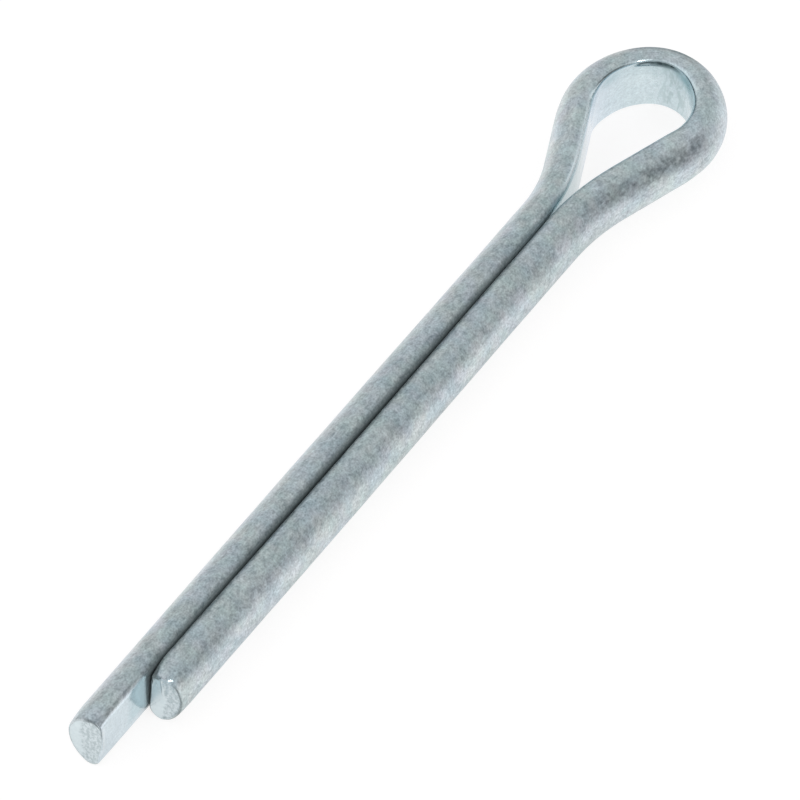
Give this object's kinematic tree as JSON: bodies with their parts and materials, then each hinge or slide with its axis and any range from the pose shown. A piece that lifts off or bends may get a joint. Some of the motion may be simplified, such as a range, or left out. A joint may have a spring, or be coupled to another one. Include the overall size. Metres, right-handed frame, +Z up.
{
  "type": "cotter pin",
  "caption": "Zinc-plated split cotter pin: half-round wire folded into a teardrop eye and a round split shank, with one leg longer than the other.",
  "frame": {"origin": "on the shank's axis, where the long leg starts to bend away into the eye", "axes": "+X along the shank towards the eye, +Z up through the pressed side, with the plane of the eye as XY; the long leg is on +Y"},
  "size_m": [0.0616, 0.0097, 0.004],
  "materials": {
    "zinc": "zinc plated with a blue-white passivation, satin with a fine mottled grain"
  },
  "bodies": {
    "root": {"pin": "zinc"}
  },
  "joints": []
}
